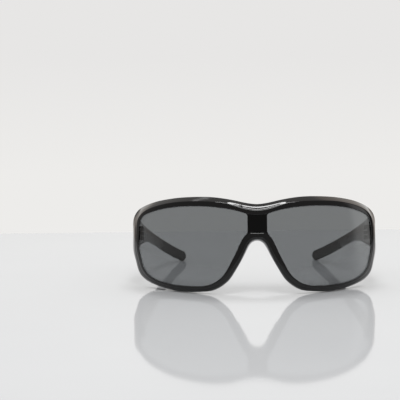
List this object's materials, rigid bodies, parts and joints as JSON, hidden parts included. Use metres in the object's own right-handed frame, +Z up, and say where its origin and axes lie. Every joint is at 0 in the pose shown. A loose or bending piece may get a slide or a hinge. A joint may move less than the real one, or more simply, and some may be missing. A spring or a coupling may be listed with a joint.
{
  "type": "wraparound sport sunglasses",
  "caption": "Wraparound sport sunglasses with a dark shield lens in a glossy full rim, a dark bridge strip and temples that fold in on screwed hinges.",
  "frame": {"origin": "on the table, under the middle of the glasses", "axes": "+X to the wearer's left, +Y from the lens back along the temples, +Z up, as the open glasses stand on a table"},
  "size_m": [0.1436, 0.1518, 0.0548],
  "materials": {
    "frame": "polished black moulded nylon",
    "lens": "grey tinted transparent polycarbonate",
    "strip": "deep black, smooth",
    "temple": "black moulded nylon",
    "sleeve": "matte black soft rubber",
    "pad": "matte black soft rubber",
    "hinge": "black coated steel",
    "screw": "blackened steel",
    "washer": "natural nylon"
  },
  "bodies": {
    "front": {"front_frame": "frame", "shield_lens": "lens", "bridge_strip": "strip", "nose_pad_left": "pad", "front_hinge_left": "hinge", "front_hinge_screws_left": "screw", "hinge_screw_left": "screw", "hinge_washers_left": "washer", "nose_pad_right": "pad", "front_hinge_right": "hinge", "front_hinge_screws_right": "screw", "hinge_screw_right": "screw", "hinge_washers_right": "washer"},
    "left_temple": {"temple_left": "temple", "temple_hinge_left": "hinge", "temple_hinge_screws_left": "screw", "tip_sleeve_left": "sleeve"},
    "right_temple": {"temple_right": "temple", "temple_hinge_right": "hinge", "temple_hinge_screws_right": "screw", "tip_sleeve_right": "sleeve"}
  },
  "joints": [
    {"name": "left_temple_fold", "type": "hinge", "parent": "front", "child": "left_temple", "pos_m": [0.06605, -0.02199, 0.02891], "axis": [0, 0.1444, 0.9895], "range_deg": [0, 88]},
    {"name": "right_temple_fold", "type": "hinge", "parent": "front", "child": "right_temple", "pos_m": [-0.06605, -0.02199, 0.02891], "axis": [0, -0.1444, -0.9895], "range_deg": [0, 76]}
  ]
}
